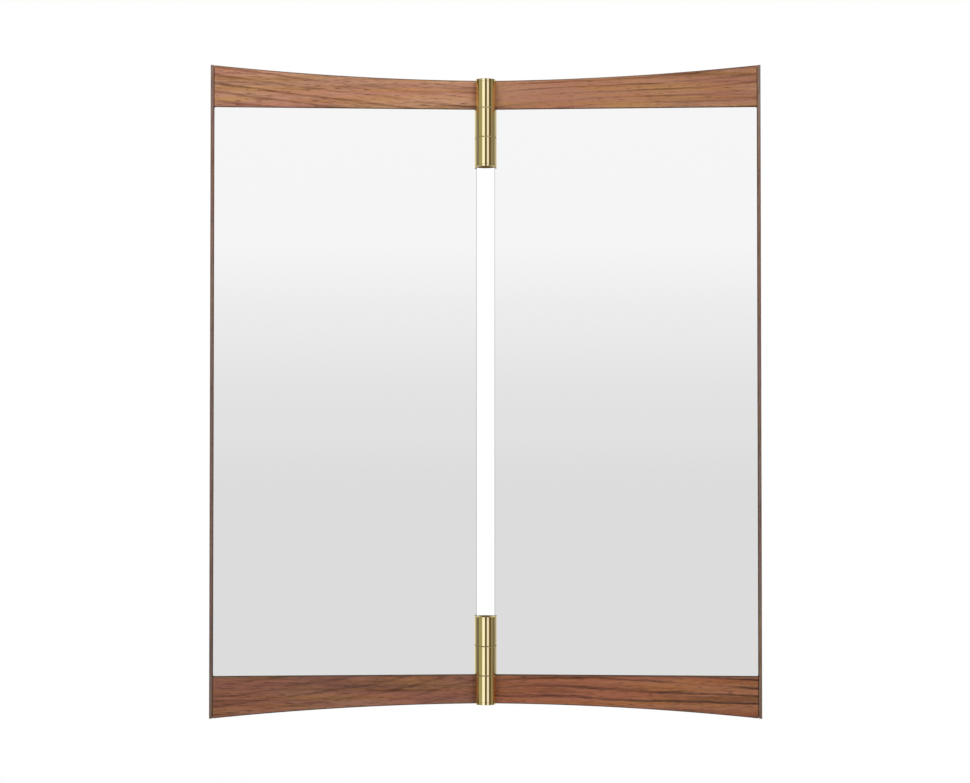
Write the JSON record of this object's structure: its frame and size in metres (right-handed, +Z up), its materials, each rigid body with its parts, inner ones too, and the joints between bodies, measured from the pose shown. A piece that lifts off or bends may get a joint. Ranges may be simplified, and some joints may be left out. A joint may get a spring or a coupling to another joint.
{
  "type": "folding wall mirror",
  "caption": "Folding wall mirror with walnut-framed glass panels, arched rails and brass barrel hinges; the right panel swings forward.",
  "frame": {"origin": "centre of the fixed (left) panel's back face, which lies against the wall", "axes": "+X to the viewer's right, towards the swinging panel; +Y into the wall; +Z up"},
  "size_m": [0.5912, 0.0611, 0.7],
  "materials": {
    "walnut_rail": "oiled walnut, satin, grain along the rail",
    "walnut_stile": "oiled walnut, satin, darker, grain upright",
    "back_veneer": "walnut veneer, satin",
    "mirror": "silvered float glass, polished edge",
    "brass": "polished, lacquered",
    "steel": "zinc plated",
    "nylon": "moulded, matt",
    "tape": "foam mounting tape",
    "dowel_beech": "plain beech, unfinished",
    "felt": "pressed felt"
  },
  "bodies": {
    "fixed_panel": {"bottom_hinge_cap_inner": "brass", "bottom_hinge_cap_outer": "brass", "bottom_hinge_fixed_leaf": "brass", "bottom_hinge_fixed_leaf_screw_end": "brass", "bottom_hinge_fixed_leaf_screw_middle": "brass", "bottom_hinge_fixed_leaf_screw_rail": "brass", "bottom_hinge_pin": "steel", "bottom_hinge_washer_inner": "nylon", "bottom_hinge_washer_outer": "nylon", "fixed_backing_board": "back_veneer", "fixed_bottom_rail": "walnut_rail", "fixed_dowel_bottom_inner": "dowel_beech", "fixed_dowel_bottom_outer": "dowel_beech", "fixed_dowel_top_inner": "dowel_beech", "fixed_dowel_top_outer": "dowel_beech", "fixed_inner_stile": "walnut_stile", "fixed_mirror_glass": "mirror", "fixed_mirror_tape_inner": "tape", "fixed_mirror_tape_outer": "tape", "fixed_outer_stile": "walnut_stile", "fixed_top_rail": "walnut_rail", "top_hinge_cap_inner": "brass", "top_hinge_cap_outer": "brass", "top_hinge_fixed_leaf": "brass", "top_hinge_fixed_leaf_screw_end": "brass", "top_hinge_fixed_leaf_screw_middle": "brass", "top_hinge_fixed_leaf_screw_rail": "brass", "top_hinge_pin": "steel", "top_hinge_washer_inner": "nylon", "top_hinge_washer_outer": "nylon", "wall_hanger_left": "steel", "wall_hanger_left_screw_a": "steel", "wall_hanger_left_screw_b": "steel", "wall_hanger_right": "steel", "wall_hanger_right_screw_a": "steel", "wall_hanger_right_screw_b": "steel"},
    "swing_panel": {"bottom_hinge_swing_leaf": "brass", "bottom_hinge_swing_leaf_screw_end": "brass", "bottom_hinge_swing_leaf_screw_middle": "brass", "bottom_hinge_swing_leaf_screw_rail": "brass", "swing_backing_board": "back_veneer", "swing_bottom_rail": "walnut_rail", "swing_bumper_bottom": "felt", "swing_bumper_top": "felt", "swing_dowel_bottom_inner": "dowel_beech", "swing_dowel_bottom_outer": "dowel_beech", "swing_dowel_top_inner": "dowel_beech", "swing_dowel_top_outer": "dowel_beech", "swing_inner_stile": "walnut_stile", "swing_mirror_glass": "mirror", "swing_mirror_tape_inner": "tape", "swing_mirror_tape_outer": "tape", "swing_outer_stile": "walnut_stile", "swing_top_rail": "walnut_rail", "top_hinge_swing_leaf": "brass", "top_hinge_swing_leaf_screw_end": "brass", "top_hinge_swing_leaf_screw_middle": "brass", "top_hinge_swing_leaf_screw_rail": "brass"}
  },
  "joints": [
    {"name": "panel_fold", "type": "hinge", "parent": "fixed_panel", "child": "swing_panel", "pos_m": [0.1522, -0.0264, 0], "axis": [0, 0, -1], "range_deg": [-7.6, 172]}
  ]
}
